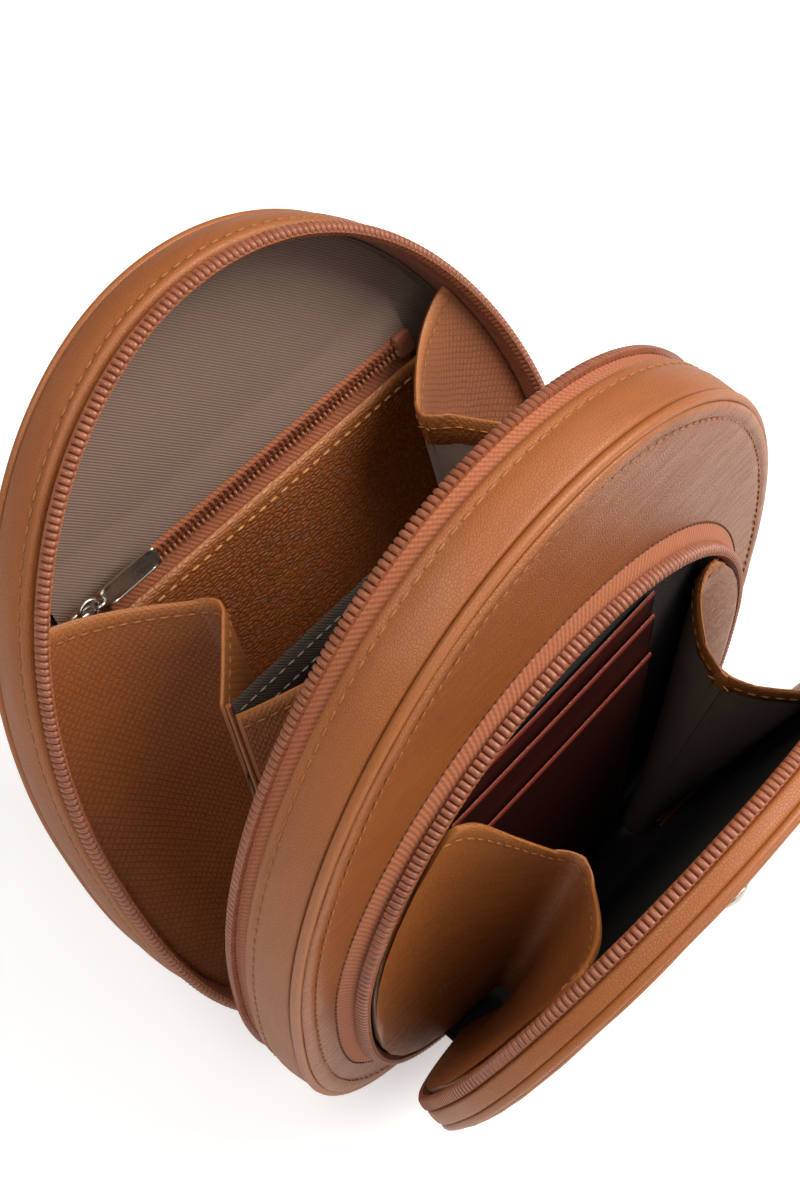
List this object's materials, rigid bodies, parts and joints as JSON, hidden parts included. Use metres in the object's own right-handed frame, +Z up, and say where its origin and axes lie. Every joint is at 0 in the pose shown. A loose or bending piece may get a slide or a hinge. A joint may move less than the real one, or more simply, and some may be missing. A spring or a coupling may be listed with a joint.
{
  "type": "phone pouch",
  "caption": "Round-topped leather phone pouch standing open, with a zipped main compartment on bellows gussets and a zipped front card pocket.",
  "frame": {"origin": "middle of the mid body's flat base, on the floor", "axes": "+Z up, +X along the width, -Y towards the front pocket"},
  "size_m": [0.1372, 0.1464, 0.165],
  "materials": {
    "tan_leather": "pebbled cross-grain calf leather, semi-matt",
    "taupe_lining": "fine twill cloth",
    "dark_lining": "dark twill cloth",
    "zip_tape": "woven zip tape",
    "zip_coil": "nylon coil, satin",
    "card_leather": "smooth thin leather, satin",
    "end_stop": "moulded end stop",
    "metal": "polished nickel plate"
  },
  "bodies": {
    "mid_body": {"mid_band": "tan_leather", "mid_piping": "tan_leather", "mid_face": "tan_leather", "mid_lining": "taupe_lining", "mid_zip_tape": "zip_tape", "mid_zip_coil": "zip_coil", "pocket_zip_tape": "zip_tape", "pocket_zip_coil": "zip_coil", "pocket_lining": "dark_lining", "card_slot_1": "card_leather", "card_slot_2": "card_leather", "card_slot_3": "card_leather", "main_zip_slider": "metal", "pocket_zip_slider": "metal", "front_gusset_left": "tan_leather", "front_gusset_right": "tan_leather", "rear_gusset_left": "tan_leather", "rear_gusset_right": "tan_leather", "pocket_gusset_left": "tan_leather", "pocket_gusset_right": "tan_leather", "bottom_hinge_strip": "tan_leather", "pocket_hinge_strip": "tan_leather"},
    "rear_shell": {"rear_band": "tan_leather", "rear_piping": "tan_leather", "rear_panel": "tan_leather", "rear_lining": "taupe_lining", "rear_zip_tape": "zip_tape", "rear_zip_coil": "zip_coil", "inner_pocket_panel": "tan_leather", "inner_zip_tape": "zip_tape", "inner_zip_coil": "zip_coil", "inner_zip_end_stop": "end_stop"},
    "divider": {"divider": "taupe_lining"},
    "front_flap": {"flap_band": "tan_leather", "flap_piping": "tan_leather", "flap_panel": "tan_leather", "flap_lining": "dark_lining", "flap_zip_tape": "zip_tape", "flap_zip_coil": "zip_coil", "flap_stud": "metal"},
    "inner_slider": {"inner_zip_slider": "metal"},
    "inner_pull": {"inner_zip_ring": "metal", "inner_zip_pull": "metal"},
    "main_pull": {"main_zip_pull": "metal"},
    "pocket_pull": {"pocket_zip_pull": "metal"}
  },
  "joints": [
    {"name": "rear_hinge", "type": "hinge", "parent": "mid_body", "child": "rear_shell", "pos_m": [0, 0.00825, 0.002], "axis": [1, 0, 0], "range_deg": [0, 23.2], "deforming": ["front_gusset_left", "front_gusset_right", "rear_gusset_left", "rear_gusset_right", "bottom_hinge_strip"]},
    {"name": "divider_hinge", "type": "hinge", "parent": "mid_body", "child": "divider", "pos_m": [0, 0.00825, 0.002], "axis": [1, 0, 0], "range_deg": [0, 11.6]},
    {"name": "flap_hinge", "type": "hinge", "parent": "mid_body", "child": "front_flap", "pos_m": [0, -0.01475, 0.011], "axis": [-1, 0, 0], "range_deg": [0, 17.5], "deforming": ["pocket_gusset_left", "pocket_gusset_right", "pocket_hinge_strip"]},
    {"name": "inner_zip_slide", "type": "slide", "parent": "rear_shell", "child": "inner_slider", "axis": [1, 0, 0], "range_m": [0, 0.074]},
    {"name": "inner_pull_hinge", "type": "hinge", "parent": "inner_slider", "child": "inner_pull", "pos_m": [-0.0447, 0.06242, 0.10618], "axis": [0, -0.3939, -0.9191], "range_deg": [0, 30]},
    {"name": "main_pull_hinge", "type": "hinge", "parent": "mid_body", "child": "main_pull", "pos_m": [0.06864, 0.00825, 0.037], "axis": [0, -1, 0], "range_deg": [0, 150]},
    {"name": "pocket_pull_hinge", "type": "hinge", "parent": "mid_body", "child": "pocket_pull", "pos_m": [0.05397, -0.01475, 0.029], "axis": [0, -1, 0], "range_deg": [0, 150]}
  ],
  "couplings": [
    {"joint": "divider_hinge", "follows": "rear_hinge", "ratio": 0.5}
  ]
}
